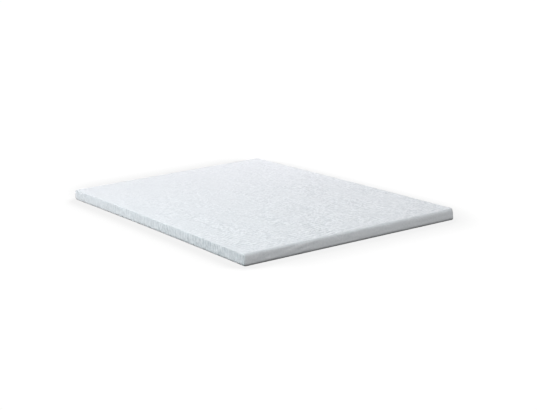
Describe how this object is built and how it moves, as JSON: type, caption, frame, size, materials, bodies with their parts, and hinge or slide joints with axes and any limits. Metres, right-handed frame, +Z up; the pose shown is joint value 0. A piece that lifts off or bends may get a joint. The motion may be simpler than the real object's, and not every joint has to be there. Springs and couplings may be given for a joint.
{
  "type": "mattress topper",
  "caption": "Thin rectangular foam mattress topper in a pale knitted cover, with lightly rounded rims, drawn-in walls and a flat base.",
  "frame": {"origin": "bottom centre of the topper, on the surface it lies on", "axes": "+X across the width, +Y along the length, +Z up through the thickness"},
  "size_m": [1.4077, 2, 0.07],
  "materials": {
    "cover_cloth": "pale cool-white knitted cloth with a fine crinkled relief, matt"
  },
  "bodies": {
    "root": {"topper": "cover_cloth"}
  },
  "joints": []
}
